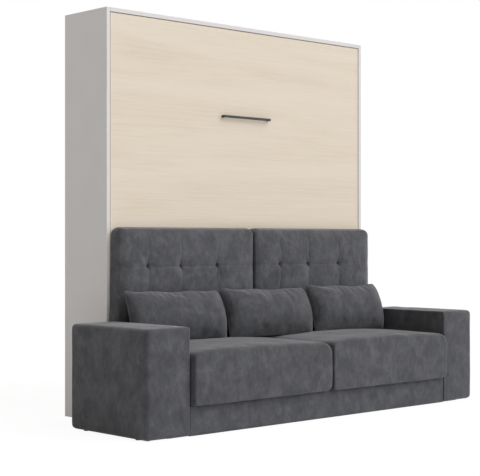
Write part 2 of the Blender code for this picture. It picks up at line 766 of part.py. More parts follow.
def build_base():
    """The seat base between the arms: upholstered front, rails, a middle rail, glides and the deck."""
    low = glide_height + touch_gap
    deck_top = seat_base_height - touch_gap
    rail_top = deck_top - deck_thickness - touch_gap
    front = (-arm_reach, -arm_reach + base_front_thickness)
    standing_pad("base_front", (-base_half, base_half), front, (low, deck_top), base_round, 2)
    inside_y = (front[1] + touch_gap, -touch_gap)
    side_far = arm_inner - touch_gap
    side_near = side_far - base_rail_thickness
    for word, side in sides:
        block("base_side_" + word, span_x(side, side_near, side_far), inside_y, (low, rail_top),
              "plywood", board_edge)
    inside_x = side_near - touch_gap
    rear = (-touch_gap - base_rail_thickness, -touch_gap)
    block("base_rear", (-inside_x, inside_x), rear, (low, rail_top), "plywood", board_edge)
    block("base_centre", (-base_rail_thickness / 2, base_rail_thickness / 2),
          (inside_y[0], rear[0] - touch_gap), (low, rail_top), "plywood", board_edge)
    block("seat_deck", (-base_half, base_half), inside_y, (rail_top + touch_gap, deck_top), "plywood",
          board_edge)
    for end, y in (("front", inside_y[0] + glide_inset), ("rear", rear[0] - glide_inset)):
        points, faces = turned([(0, 0), (glide_radius, 0), (glide_radius, glide_height), (0, glide_height)])
        place("base_glide_" + end, points, faces, "black_plastic", (0, y, 0))


# Seat cushions: half sizes, and the crown that what rests on them has to follow
seat_half = ((arm_inner - seat_side_gap - seat_gap) / 2, (seat_reach - seat_bulge - seat_back_gap) / 2,
             (seat_height - seat_crown - seat_base_height) / 2)
seat_middle_x = seat_gap + seat_half[0]
seat_middle_y = -seat_back_gap - seat_half[1]
seat_flat = seat_height - seat_crown


def seat_swell(u, v):
    """The crown of a seat cushion at shares of its half sizes along and across.

    It falls off to nothing at the sides and the back, and to a share at the front.
    """
    kept = np.where(v < 0, seat_front_share, 0.0)
    fall = (1 - kept) * np.abs(v) ** seat_fall_power
    return seat_crown * np.clip(1 - u ** 2, 0, 1) * np.clip(1 - fall, 0, 1)


def seat_top_at(x, y):
    """Height of the seat cushions' top at points in plan."""
    return seat_flat + seat_swell((np.abs(x) - seat_middle_x) / seat_half[0],
                                  (y - seat_middle_y) / seat_half[1])


def build_seat_cushions():
    """Boxed seat cushions: crowned top, front that swells a little and sides drawn in between corners."""
    a, b, c = seat_half
    width_shares = (-0.91, -0.72, -0.48, -0.24, 0.0, 0.24, 0.48, 0.72, 0.91)
    depth_shares = (-0.64, -0.32, 0.0, 0.32, 0.64)
    height_shares = (-0.4, 0.0, 0.4, 0.66)
    lines = (corner_lines(a, seat_round, [share * a for share in width_shares]),
             corner_lines(b, seat_round, [share * b for share in depth_shares]),
             corner_lines(c, seat_round, [share * c for share in height_shares]))
    points, faces = padded_box(*lines, seat_round, seat_corner)
    u, v, w = (points / np.array(seat_half)).T
    shaped = points.copy()
    shaped[:, 0] -= seat_draw * u * (1 - v ** 2)
    shaped[:, 1] -= seat_bulge * (1 - u ** 2) * (1 - w ** 2) * np.clip(-v, 0, 1)
    shaped[:, 2] += seat_swell(u, v) * np.clip(w, 0, 1)
    for word, side in sides:
        place("seat_cushion_" + word, shaped, faces, "slate_velvet",
              (side * seat_middle_x, seat_middle_y, seat_base_height + c))


def pad(x_lines, z_lines, plan, front, back):
    """Points and faces of a pad from a grid of shares: its outline, and how far each face stands out.

    plan moves the grid's shares to X and Z; front and back are heights on the grid, nil at its border.
    """
    u, w = np.meshgrid(x_lines, z_lines, indexing="ij")
    x, z = plan(u, w)
    columns, rows = u.shape
    border = np.ones_like(u, bool)
    border[1:-1, 1:-1] = False
    front_index = np.arange(columns * rows).reshape(columns, rows)
    back_index = front_index.copy()
    back_index[~border] = columns * rows + np.arange((~border).sum())
    points = np.concatenate([
        np.stack([x, np.where(border, 0, -front), z], -1).reshape(-1, 3),
        np.stack([x, back, z], -1)[~border]])
    faces = []
    for i in range(columns - 1):
        for j in range(rows - 1):
            around = ((i, j), (i + 1, j), (i + 1, j + 1), (i, j + 1))
            faces.append([int(front_index[c]) for c in around])
            faces.append([int(back_index[c]) for c in reversed(around)])
    return points, faces


def rest_on_seat(points):
    """How far points must rise so that the lowest of them just clears the seat."""
    return float(np.max(seat_top_at(points[:, 0], points[:, 1]) - points[:, 2])) + touch_gap


# Back cushions: half sizes and the places of the tufts from the cushion's middle
back_half_x = (arm_inner - back_cushion_side_gap - back_cushion_gap) / 2
back_half_z = back_cushion_height / 2
back_half_y = back_cushion_rim / 2
tuft_x = [tuft_shift + step * tuft_pitch for step in tuft_steps]
tuft_z = [back_half_z - tuft_drop - i * tuft_row_pitch for i in range(tuft_rows)]
rim_shares = (0.0, 0.10, 0.40, 1.0)
crease_share = 1.7            # from a crease to the grid lines beside it, in spreads of the crease
pinch_share = 3.0             # spread of the pinch in a cushion's side, in spreads of the seam
crown_power = 4               # keeps a pad's crown full to near its border
rim_power = 3                 # makes the boxed edge squarer than a round one


def rim_lines(half, rim):
    """Shares of a half size near one border, closer together where the rim turns."""
    return [1 - rim / half * share for share in rim_shares]


def hill(distance, spread):
    """A smooth bump of height one that dies away over a few spreads."""
    return np.exp(-(distance / spread) ** 2)


def build_back_cushions():
    """Boxed back cushions with tufts, the folds and the seam that run through them, and soft crowns."""
    end_x = rim_lines(back_half_x, back_cushion_edge)
    end_z = rim_lines(back_half_z, back_cushion_edge)
    beside_x = (-crease_share * fold_spread, 0.0, crease_share * fold_spread)
    beside_z = (-crease_share * seam_spread, 0.0, crease_share * seam_spread)
    in_x = [(x + step) / back_half_x for x in tuft_x for step in beside_x]
    in_x += [(x + tuft_pitch / 2) / back_half_x for x in tuft_x]
    in_x.append((tuft_x[0] - tuft_pitch / 2) / back_half_x)
    in_z = [(z + step) / back_half_z for z in tuft_z for step in beside_z]
    in_z += [(z + tuft_row_pitch / 2) / back_half_z for z in tuft_z]
    in_z.append((tuft_z[-1] - tuft_row_pitch / 2) / back_half_z)
    x_lines = sorted([-share for share in end_x] + in_x + end_x)
    z_lines = sorted([-share for share in end_z] + in_z + end_z)

    def plan(u, w):
        x, z = u * back_half_x, w * back_half_z
        over_x = np.maximum(np.abs(x) - (back_half_x - back_cushion_corner), 0)
        over_z = np.maximum(np.abs(z) - (back_half_z - back_cushion_corner), 0)
        longest = np.maximum(over_x, over_z)
        shrink = np.divide(longest, np.hypot(over_x, over_z), out=np.ones_like(x), where=longest > 0)
        x = np.sign(x) * (np.abs(x) - over_x * (1 - shrink))
        z = np.sign(z) * (np.abs(z) - over_z * (1 - shrink))
        pinch = sum(hill(z - row, pinch_share * seam_spread) for row in tuft_z)
        return x - side_pinch * u ** 3 * pinch, z

    u, w = np.meshgrid(x_lines, z_lines, indexing="ij")
    inward = np.minimum((1 - np.abs(u)) * back_half_x, (1 - np.abs(w)) * back_half_z)
    turn = np.clip(inward / back_cushion_edge, 0, 1)
    rim = back_half_y * (1 - (1 - turn) ** rim_power) ** (1 / rim_power)
    x, z = u * back_half_x, w * back_half_z
    soft = (1 - u ** crown_power) * (1 - w ** crown_power)
    folds = sum(hill(x - column, fold_spread) for column in tuft_x)
    seams = sum(hill(z - row, seam_spread) for row in tuft_z)
    tufts = sum(hill(np.hypot(x - column, z - row), tuft_spread) for column in tuft_x for row in tuft_z)
    creases = np.maximum(tuft_depth * tufts, fold_depth * folds + seam_depth * seams)
    front = rim + soft * (back_cushion_puff - creases)
    points, faces = pad(x_lines, z_lines, plan, front, rim)
    middle_x = back_cushion_gap + back_half_x
    middle_y = -touch_gap - back_half_y
    for word, side in sides:
        middle = np.array([side * middle_x, middle_y, seat_flat + back_half_z])
        rise = rest_on_seat(points + middle)
        place("back_cushion_" + word, points, faces, "slate_velvet", middle + np.array([0, 0, rise]))


def build_pillows():
    """Lumbar pillows with knife edges, which stand on the seat and lean on the back cushions."""
    width_shares = (-1.0, -0.96, -0.88, -0.76, -0.6, -0.4, -0.2, 0.0, 0.2, 0.4, 0.6, 0.76, 0.88, 0.96, 1.0)
    height_shares = (-1.0, -0.94, -0.8, -0.6, -0.3, 0.0, 0.3, 0.6, 0.8, 0.94, 1.0)
    half_x, half_z = pillow_width / 2, pillow_height / 2

    def plan(u, w):
        top_draw = pillow_draw * np.clip(w, 0, 1) * (1 - u ** 2)
        return u * (half_x - pillow_draw * (1 - w ** 2)), w * half_z - top_draw

    u, w = np.meshgrid(width_shares, height_shares, indexing="ij")
    swell = pillow_thickness / 2 * ((1 - u ** crown_power) * (1 - w ** 2)) ** pillow_power
    points, faces = pad(width_shares, height_shares, plan, swell, swell)
    points[:, 1] -= pillow_bow * (1 - (points[:, 2] / half_z) ** 2)
    lean = Matrix.Rotation(-pillow_lean, 3, "X")
    leaning = np.array([lean @ Vector(point) for point in points])
    back_front = -2 * touch_gap - back_cushion_rim - back_cushion_puff
    middle_y = back_front - float(leaning[:, 1].max())
    words = {-1: "left", 0: "middle", 1: "right"}
    for i in range(pillow_count):
        step = i - pillow_count // 2
        middle = np.array([step * pillow_pitch, middle_y, seat_height + half_z])
        rise = rest_on_seat(leaning + middle)
        place("pillow_" + words[step], points, faces, "slate_velvet", middle + np.array([0, 0, rise]),
              -pillow_lean)


build_cabinet()
build_wall_brackets()
build_door()
build_frame()
build_slats()
build_mattress()
build_pivots()
build_struts()
build_foot()
build_arms()
build_base()
build_seat_cushions()
build_back_cushions()
build_pillows()
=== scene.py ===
import json
import math
import time

import bmesh
import bpy
import numpy as np
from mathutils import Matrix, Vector


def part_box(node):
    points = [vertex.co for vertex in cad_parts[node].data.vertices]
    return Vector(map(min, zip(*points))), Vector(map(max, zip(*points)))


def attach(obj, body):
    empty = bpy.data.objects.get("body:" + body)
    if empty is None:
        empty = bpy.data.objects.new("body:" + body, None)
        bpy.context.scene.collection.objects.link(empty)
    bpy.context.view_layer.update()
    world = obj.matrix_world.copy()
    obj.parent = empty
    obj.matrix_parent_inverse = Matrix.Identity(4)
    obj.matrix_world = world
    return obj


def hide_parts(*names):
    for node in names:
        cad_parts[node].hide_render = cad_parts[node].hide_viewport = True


# Wall bed with sofa: metres, +Z up, +Y towards the wall, left is -X.
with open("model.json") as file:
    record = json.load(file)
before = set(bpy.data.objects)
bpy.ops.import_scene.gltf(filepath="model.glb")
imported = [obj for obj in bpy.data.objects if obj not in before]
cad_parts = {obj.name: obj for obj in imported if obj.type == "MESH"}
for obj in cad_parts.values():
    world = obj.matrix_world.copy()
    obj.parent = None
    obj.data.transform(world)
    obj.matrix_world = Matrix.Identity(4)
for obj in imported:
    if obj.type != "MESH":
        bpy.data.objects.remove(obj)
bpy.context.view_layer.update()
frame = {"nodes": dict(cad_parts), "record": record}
nodes = frame["nodes"]
startTime = time.time()
print("frame loaded:", len(nodes), "nodes")


# Camera, light and floor
viewer = {"place": (-5.1031, -5.2685, 0.9589), "turnDeg": (90.0, 0.0, -42.98),
          "lens": 97.25, "sensor": 36.0, "shiftY": 0.0036}
cameraData = bpy.data.cameras.new("viewer")
cameraData.lens = viewer["lens"]
cameraData.sensor_width = viewer["sensor"]
cameraData.shift_y = viewer["shiftY"]
cameraObject = bpy.data.objects.new("viewer", cameraData)
cameraObject.location = viewer["place"]
cameraObject.rotation_euler = [math.radians(angle) for angle in viewer["turnDeg"]]
bpy.context.scene.collection.objects.link(cameraObject)
bpy.context.scene.camera = cameraObject
bpy.context.scene.view_settings.view_transform = "Standard"

studio = {"skyLevel": 0.39, "skyColour": (1.0, 0.955, 0.905),
          "keyEnergy": 1.85, "keyColour": (0.965, 0.985, 1.01), "keySoftness": 1.0,
          "keyFrom": (0.55, -1.0, 0.90),
          "sideEnergy": 1.1, "sideColour": (1.0, 1.0, 1.0), "sideSoftness": 0.1,
          "sideFrom": (1.0, -0.05, 0.005),
          "floorSize": 60.0, "floorColour": (0.92, 0.92, 0.92), "floorRoughness": 0.9,
          "floorWhite": 1.06, "floorShare": 0.88}


def plainRays(tree):
    # one for camera, mirror and see-through rays, nil for the light that reaches the object
    rays = tree.nodes.new("ShaderNodeLightPath")
    total = rays.outputs["Is Camera Ray"]
    for name in ("Is Glossy Ray", "Is Transmission Ray"):
        add = tree.nodes.new("ShaderNodeMath")
        add.operation = "MAXIMUM"
        tree.links.new(total, add.inputs[0])
        tree.links.new(rays.outputs[name], add.inputs[1])
        total = add.outputs[0]
    return total


def buildStudio(s):
    world = bpy.data.worlds.new("studio")
    bpy.context.scene.world = world
    world.use_nodes = True
    tree = world.node_tree
    sky = tree.nodes["Background"]
    sky.inputs["Color"].default_value = (*s["skyColour"], 1)
    sky.inputs["Strength"].default_value = s["skyLevel"]
    white = tree.nodes.new("ShaderNodeBackground")
    white.inputs["Color"].default_value = (1, 1, 1, 1)
    white.inputs["Strength"].default_value = 1.0
    mix = tree.nodes.new("ShaderNodeMixShader")
    tree.links.new(plainRays(tree), mix.inputs["Fac"])
    tree.links.new(sky.outputs[0], mix.inputs[1])
    tree.links.new(white.outputs[0], mix.inputs[2])
    tree.links.new(mix.outputs[0], tree.nodes["World Output"].inputs["Surface"])

    # a broad key from the right front, and a low one that grazes the right side
    for word in ("key", "side"):
        lamp = bpy.data.lights.new(word, "SUN")
        lamp.energy, lamp.color, lamp.angle = s[word + "Energy"], s[word + "Colour"], s[word + "Softness"]
        lampObject = bpy.data.objects.new(word, lamp)
        lampObject.rotation_euler = Vector(s[word + "From"]).to_track_quat("Z", "Y").to_euler()
        bpy.context.scene.collection.objects.link(lampObject)

    half = s["floorSize"] / 2
    corners = [(-half, -half, 0), (half, -half, 0), (half, half, 0), (-half, half, 0)]
    mesh = bpy.data.meshes.new("floor")
    mesh.from_pydata(corners, [], [(0, 1, 2, 3)])
    floor = bpy.data.objects.new("floor", mesh)
    bpy.context.scene.collection.objects.link(floor)
    material = bpy.data.materials.new("floorWhite")
    material.use_nodes = True
    tree = material.node_tree
    paint = tree.nodes["Principled BSDF"]
    paint.inputs["Base Color"].default_value = (*s["floorColour"], 1)
    paint.inputs["Roughness"].default_value = s["floorRoughness"]
    paint.inputs["Specular IOR Level"].default_value = 0.0
    glow = tree.nodes.new("ShaderNodeEmission")
    glow.inputs["Color"].default_value = (1, 1, 1, 1)
    glow.inputs["Strength"].default_value = s["floorWhite"]
    share = tree.nodes.new("ShaderNodeMath")
    share.operation = "MULTIPLY"
    share.inputs[1].default_value = s["floorShare"]
    tree.links.new(plainRays(tree), share.inputs[0])
    mix = tree.nodes.new("ShaderNodeMixShader")
    tree.links.new(share.outputs[0], mix.inputs["Fac"])
    tree.links.new(paint.outputs[0], mix.inputs[1])
    tree.links.new(glow.outputs[0], mix.inputs[2])
    tree.links.new(mix.outputs[0], tree.nodes["Material Output"].inputs["Surface"])
    mesh.materials.append(material)


buildStudio(studio)
print("studio and camera set")


# Finishes
def newFinish(name, roughness, metallic=0.0):
    # a plain material, with object coordinates for its patterns
    material = bpy.data.materials.new(name)
    material.use_nodes = True
    tree = material.node_tree
    shader = tree.nodes["Principled BSDF"]
    shader.inputs["Roughness"].default_value = roughness
    shader.inputs["Metallic"].default_value = metallic
    coords = tree.nodes.new("ShaderNodeTexCoord")
    return material, tree, shader, coords.outputs["Object"]


def grainNoise(tree, coords, scale, detail=3.0, rough=0.55, shift=(0, 0, 0), twist=0.0):
    # noise on object coordinates, with one scale for all axes or one for each
    place = tree.nodes.new("ShaderNodeMapping")
    place.inputs["Scale"].default_value = np.broadcast_to(scale, 3).tolist()
    place.inputs["Location"].default_value = shift
    noise = tree.nodes.new("ShaderNodeTexNoise")
    noise.inputs["Scale"].default_value = 1.0
    noise.inputs["Detail"].default_value = detail
    noise.inputs["Roughness"].default_value = rough
    noise.inputs["Distortion"].default_value = twist
    tree.links.new(coords, place.inputs["Vector"])
    tree.links.new(place.outputs[0], noise.inputs["Vector"])
    return noise.outputs["Fac"]


def weigh(tree, first, second, share):
    # first and second blended, with that share of the second
    mix = tree.nodes.new("ShaderNodeMix")
    mix.data_type = "FLOAT"
    mix.inputs[0].default_value = share
    tree.links.new(first, mix.inputs[2])
    tree.links.new(second, mix.inputs[3])
    return mix.outputs[0]


def tint(tree, factor, stops):
    # a colour ramp over the factor, with its stops as pairs of place and colour
    ramp = tree.nodes.new("ShaderNodeValToRGB")
    points = ramp.color_ramp.elements
    while len(points) < len(stops):
        points.new(0.5)
    for point, (position, colour) in zip(points, stops):
        point.position = position
        point.color = (*colour, 1)
    tree.links.new(factor, ramp.inputs[0])
    return ramp.outputs[0]


def emboss(tree, shader, height, distance, strength=1.0, under=None):
    # a bump of that depth, laid over the one under it
    bump = tree.nodes.new("ShaderNodeBump")
    bump.inputs["Distance"].default_value = distance
    bump.inputs["Strength"].default_value = strength
    tree.links.new(height, bump.inputs["Height"])
    if under is not None:
        tree.links.new(under, bump.inputs["Normal"])
    tree.links.new(bump.outputs[0], shader.inputs["Normal"])
    return bump.outputs[0]


velvetLook = {"dark": (0.058, 0.0595, 0.067), "middle": (0.0865, 0.088, 0.097),
              "light": (0.128, 0.130, 0.142), "stops": (0.33, 0.50, 0.68),
              "patches": (14.0, 14.0, 12.0), "strokes": (50.0, 50.0, 34.0), "nap": (420.0, 420.0, 300.0),
              "strokeShare": 0.38, "napShare": 0.16, "strokeDepth": 0.0010, "napDepth": 0.0005,
              "roughness": 0.92, "specular": 0.12,
              "sheen": 0.48, "sheenRoughness": 0.42, "sheenTint": (0.88, 0.88, 0.91)}


def buildVelvet(look, name="slateVelvet", paintedLightGain=1.0):
    # soft patches, brush strokes and a fine nap; a factor above one scales every shade up into a paler
    # copy, painted light that offsets the shade a piece takes
    material, tree, shader, coords = newFinish(name, look["roughness"])
    patches = grainNoise(tree, coords, look["patches"], shift=(3.1, 1.7, 0.4), twist=0.35)
    strokes = grainNoise(tree, coords, look["strokes"], rough=0.6, shift=(0.3, 5.2, 2.1), twist=0.2)
    nap = grainNoise(tree, coords, look["nap"], detail=2.0, rough=0.6)
    soft = weigh(tree, patches, strokes, look["strokeShare"])
    marks = weigh(tree, soft, nap, look["napShare"])
    shades = [tuple(paintedLightGain * c for c in look[shade]) for shade in ("dark", "middle", "light")]
    colour = tint(tree, marks, list(zip(look["stops"], shades)))
    tree.links.new(colour, shader.inputs["Base Color"])
    shader.inputs["Specular IOR Level"].default_value = look["specular"]
    shader.inputs["Sheen Weight"].default_value = look["sheen"]
    shader.inputs["Sheen Roughness"].default_value = look["sheenRoughness"]
    shader.inputs["Sheen Tint"].default_value = (*look["sheenTint"], 1)
    wide = emboss(tree, shader, strokes, look["strokeDepth"], strength=0.5)
    emboss(tree, shader, nap, look["napDepth"], strength=0.7, under=wide)
    return material


oakLook = {"deep": (0.700, 0.590, 0.456), "middle": (0.785, 0.685, 0.562), "pale": (0.835, 0.745, 0.628),
           "stops": (0.30, 0.47, 0.66),
           "bands": (0.55, 1.0, 5.5), "fibres": (2.6, 8.0, 120.0), "pores": (9.0, 30.0, 420.0),
           "fibreShare": 0.45, "poreShare": 0.22, "poreDepth": 0.00025, "roughness": 0.62, "specular": 0.35}


def buildOak(look):
    # broad bands, long fibres and short pores, all drawn out along the panel's width
    material, tree, shader, coords = newFinish("paleOak", look["roughness"])
    bands = grainNoise(tree, coords, look["bands"], detail=4.0, rough=0.5, shift=(0.4, 0, 1.3), twist=1.2)
    fibres = grainNoise(tree, coords, look["fibres"], detail=5.0, rough=0.6, shift=(1.9, 0, 0.2), twist=0.4)
    pores = grainNoise(tree, coords, look["pores"], detail=2.0, rough=0.7, shift=(0.7, 0, 0.9))
    grain = weigh(tree, bands, fibres, look["fibreShare"])
    grain = weigh(tree, grain, pores, look["poreShare"])
    shades = [look[shade] for shade in ("deep", "middle", "pale")]
    colour = tint(tree, grain, list(zip(look["stops"], shades)))
    tree.links.new(colour, shader.inputs["Base Color"])
    shader.inputs["Specular IOR Level"].default_value = look["specular"]
    emboss(tree, shader, pores, look["poreDepth"], strength=0.5)
    return material


def clouded(tree, shader, coords, colour, speck, size):
    # a plain colour that wavers a little either way, in clouds of that scale
    cloud = grainNoise(tree, coords, size, rough=0.5)
    low = tuple(c * (1 - speck) for c in colour)
    high = tuple(min(1.0, c * (1 + speck)) for c in colour)
    tree.links.new(tint(tree, cloud, [(0.35, low), (0.65, high)]), shader.inputs["Base Color"])


boardLook = {"colour": (0.735, 0.722, 0.712), "roughness": 0.42, "speck": 0.012, "clouds": 5.0,
             "pressed": 650.0, "pressedDepth": 0.00012}


def buildBoard(name, look):
    # a coated board with a fine pressed texture
    material, tree, shader, coords = newFinish(name, look["roughness"])
    clouded(tree, shader, coords, look["colour"], look["speck"], look["clouds"])
    texture = grainNoise(tree, coords, look["pressed"], detail=2.0, rough=0.6)
    emboss(tree, shader, texture, look["pressedDepth"], strength=0.5)
    return material


hardPattern = {"clouds": 30.0, "peel": 900.0}
blackMetalLook = {"colour": (0.022, 0.022, 0.024), "roughness": 0.42, "metallic": 0.0,
                  "speck": 0.10, "peelDepth": 0.00008}
greySteelLook = {"colour": (0.27, 0.28, 0.29), "roughness": 0.48, "metallic": 0.35,
                 "speck": 0.05, "peelDepth": 0.00012}
brightSteelLook = {"colour": (0.62, 0.63, 0.64), "roughness": 0.30, "metallic": 1.0,
                   "speck": 0.06, "peelDepth": 0.00004}
blackPlasticLook = {"colour": (0.028, 0.028, 0.030), "roughness": 0.55, "metallic": 0.0,
                    "speck": 0.08, "peelDepth": 0.00015}


def buildHard(name, look):
    # powder coat, plating or moulded plastic with a fine orange peel
    material, tree, shader, coords = newFinish(name, look["roughness"], look["metallic"])
    clouded(tree, shader, coords, look["colour"], look["speck"], hardPattern["clouds"])
    peel = grainNoise(tree, coords, hardPattern["peel"], detail=2.0, rough=0.5)
    emboss(tree, shader, peel, look["peelDepth"], strength=0.6)
    return material


beechLook = {"dark": (0.60, 0.44, 0.28), "light": (0.74, 0.58, 0.40), "stops": (0.32, 0.66),
             "bands": (3.0, 30.0, 60.0), "grainDepth": 0.0003, "roughness": 0.5}
plywoodLook = {"dark": (0.52, 0.38, 0.24), "light": (0.70, 0.56, 0.39), "stops": (0.32, 0.66),
               "bands": (4.0, 5.0, 160.0), "grainDepth": 0.0003, "roughness": 0.75}


def buildWood(name, look):
    # bare wood: noise drawn out along X, with a slight bump in its grain
    material, tree, shader, coords = newFinish(name, look["roughness"])
    grain = grainNoise(tree, coords, look["bands"], detail=5.0, rough=0.6, shift=(0.3, 0.8, 0.1), twist=0.6)
    colour = tint(tree, grain, list(zip(look["stops"], (look["dark"], look["light"]))))
    tree.links.new(colour, shader.inputs["Base Color"])
    emboss(tree, shader, grain, look["grainDepth"], strength=0.5)
    return material


tickingLook = {"dark": (0.74, 0.735, 0.715), "light": (0.84, 0.835, 0.81), "stops": (0.3, 0.6),
               "knit": 700.0, "clouds": 14.0, "knitShare": 0.5, "knitDepth": 0.0006,
               "roughness": 0.95, "sheen": 0.15}


def buildTicking(look):
    # a pale knitted cover: soft clouds blended with a fine knit
    material, tree, shader, coords = newFinish("ticking", look["roughness"])
    knit = grainNoise(tree, coords, look["knit"], detail=2.0, rough=0.7)
    cloud = grainNoise(tree, coords, look["clouds"], rough=0.5)
    both = weigh(tree, cloud, knit, look["knitShare"])
    colour = tint(tree, both, list(zip(look["stops"], (look["dark"], look["light"]))))
    tree.links.new(colour, shader.inputs["Base Color"])
    shader.inputs["Sheen Weight"].default_value = look["sheen"]
    emboss(tree, shader, knit, look["knitDepth"], strength=0.8)
    return material


finish = {
    "slate_velvet": buildVelvet(velvetLook),
    "pale_oak": buildOak(oakLook),
    "white_board": buildBoard("whiteBoard", boardLook),
    "black_metal": buildHard("blackMetal", blackMetalLook),
    "grey_steel": buildHard("greySteel", greySteelLook),
    "bright_steel": buildHard("brightSteel", brightSteelLook),
    "black_plastic": buildHard("blackPlastic", blackPlasticLook),
    "beech": buildWood("beech", beechLook),
    "plywood": buildWood("plywood", plywoodLook),
    "ticking": buildTicking(tickingLook),
}
slotOf = {part["node"]: part["material_slot"] for part in frame["record"]["subparts"]}
for nodeName, node in nodes.items():
    node.data.materials.clear()
    node.data.materials.append(finish[slotOf[nodeName]])
# a paler copy for the back cushions: painted light that offsets the shade they take beside the pillows
backVelvetPaintedLight = buildVelvet(velvetLook, "backVelvetPaintedLight", paintedLightGain=1.09)
print("finishes on the nodes")


# Surfaces
tiny = 1e-9  # keeps a division off nought


def addMesh(name, points, faces, material):
    # a smooth closed piece, with its faces turned outwards
    mesh = bpy.data.meshes.new(name)
    mesh.from_pydata(np.asarray(points).tolist(), [], np.asarray(faces).tolist())
    shell = bmesh.new()
    shell.from_mesh(mesh)
    bmesh.ops.recalc_face_normals(shell, faces=shell.faces)
    if shell.calc_volume(signed=True) < 0:
        bmesh.ops.reverse_faces(shell, faces=shell.faces)
    shell.to_mesh(mesh)
    shell.free()
    mesh.shade_smooth()
    mesh.materials.append(material)
    piece = bpy.data.objects.new(name, mesh)
    bpy.context.scene.collection.objects.link(piece)
    return piece


def readPoints(piece):
    flat = np.empty(len(piece.data.vertices) * 3)
    piece.data.vertices.foreach_get("co", flat)
    return flat.reshape(-1, 3)


def writePoints(piece, points):
    piece.data.vertices.foreach_set("co", np.ascontiguousarray(points, dtype=np.float32).ravel())
    piece.data.update()


def subdivide(piece):
    step = piece.modifiers.new("finer", "SUBSURF")
    step.levels = step.render_levels = 1


def gridFaces(rows, columns, closed=False):
    # quads of a grid of points numbered row by row; a closed grid wraps round both ways
    i = np.arange(rows if closed else rows - 1)[:, None]
    j = np.arange(columns if closed else columns - 1)[None, :]
    a, b = i % rows, (i + 1) % rows
    c, d = j % columns, (j + 1) % columns
    return np.stack([a * columns + c, b * columns + c, b * columns + d, a * columns + d], -1).reshape(-1, 4)


def nearEnd(share, part):
    # nil up to the last 1/part of the way, then rising evenly to one
    return np.clip(share * part - (part - 1), 0, 1)


def softBox(half, rounding, pitch, corners=None, edges=None, outline=(0, 2), arcSteps=4):
    # Six gridded sides of a box. In the plane of the outline's two axes, what lies past the core becomes
    # an arc at each corner. Then each point past the second core, smaller by the edge rounding, is pushed
    # out from it by that rounding. corners and edges give the two radii from a point's shares u, v and w,
    # which run from -1 to 1 along X, Y and Z.
    arc = rounding * np.tan(np.linspace(0, math.pi / 4, arcSteps + 1))
    lines = []
    for size in half:
        flat = size - rounding
        count = max(2, int(round(2 * flat / pitch)))
        even = np.linspace(-flat, flat, count + 1)
        lines.append(np.concatenate([-flat - arc[:0:-1], even, flat + arc[1:]]))
    clouds, quads, start = [], [], 0
    for axis in range(3):
        first, second = [other for other in range(3) if other != axis]
        for side in (-1, 1):
            a, b = np.meshgrid(lines[first], lines[second], indexing="ij")
            points = np.empty(a.shape + (3,))
            points[..., first], points[..., second], points[..., axis] = a, b, side * half[axis]
            clouds.append(points.reshape(-1, 3))
            quads.append(gridFaces(*a.shape) + start)
            start += a.size
    # the six sides share the points along their borders
    cloud = np.concatenate(clouds)
    micrometres = np.round(cloud / 1e-6).astype(np.int64)
    _, keep, index = np.unique(micrometres, axis=0, return_index=True, return_inverse=True)
    cloud, faces = cloud[keep], index.reshape(-1)[np.concatenate(quads)]
    shares = (cloud / half).T
    edge = np.full(len(cloud), rounding) if edges is None else edges(*shares)
    radius = edge if corners is None else np.maximum(corners(*shares), edge)
    outline, third = list(outline), 3 - sum(outline)
    size, deep = np.abs(cloud[:, outline]), np.abs(cloud[:, third])
    over = np.maximum(size - (half[outline] - radius[:, None]), 0)
    reach = over.max(1)
    aim = over / np.maximum(np.hypot(over[:, 0], over[:, 1]), tiny)[:, None]
    outward = np.maximum(reach - radius + edge, 0)
    forward = np.maximum(deep - half[third] + edge, 0)
    shrink = edge / np.hypot(outward, forward)
    points, normal = np.empty_like(cloud), np.empty_like(cloud)
    points[:, outline] = size - over + aim * (reach - outward + outward * shrink)[:, None]
    points[:, third] = deep - forward + forward * shrink
    normal[:, outline] = aim * (outward * shrink / edge)[:, None]
    normal[:, third] = forward * shrink / edge
    sign = np.sign(cloud)
    return sign * points, sign * normal, faces


def tube(path, radius, sides=8):
    # a circle carried along a closed path; each ring is square to the path's direction
    along = np.roll(path, -1, 0) - np.roll(path, 1, 0)
    along /= np.linalg.norm(along, axis=1, keepdims=True)
    reference = np.cross(along, path - path.mean(0))
    reference /= np.linalg.norm(reference, axis=1, keepdims=True)
    across = np.cross(reference, along)
    angle = np.linspace(0, 2 * math.pi, sides, endpoint=False)[None, :, None]
    ring = np.cos(angle) * reference[:, None] + np.sin(angle) * across[:, None]
    points = (path[:, None] + radius * ring).reshape(-1, 3)
    return points, gridFaces(len(path), sides, closed=True)


anyPhase = (0, 6.28)  # radians, nearly a full turn


def ripple(points, seed, wavelength, waves=6):
    # a few plane waves in seeded directions, summed: a soft unevenness about one high
    chance = np.random.RandomState(seed)
    total = np.zeros(len(points))
    for _ in range(waves):
        direction = chance.normal(size=3)
        direction /= np.linalg.norm(direction)
        length = wavelength * chance.uniform(0.7, 1.5)
        total += np.sin(points @ direction * 2 * math.pi / length + chance.uniform(*anyPhase))
    return total / math.sqrt(waves * 2)


def hill(distance, spread):
    # a bell: one at no distance, falling off with its square
    return np.exp(-(distance / spread) ** 2)


def crease(distance, spread, blunt=0.0012):
    # a sharp valley: falls off evenly from a slightly blunted line
    return np.exp(-(np.sqrt(distance ** 2 + blunt ** 2) - blunt) / spread)


clothRun = {"frames": 20, "quality": 4, "mass": 0.3, "shear": 5.0, "damping": 2.0}


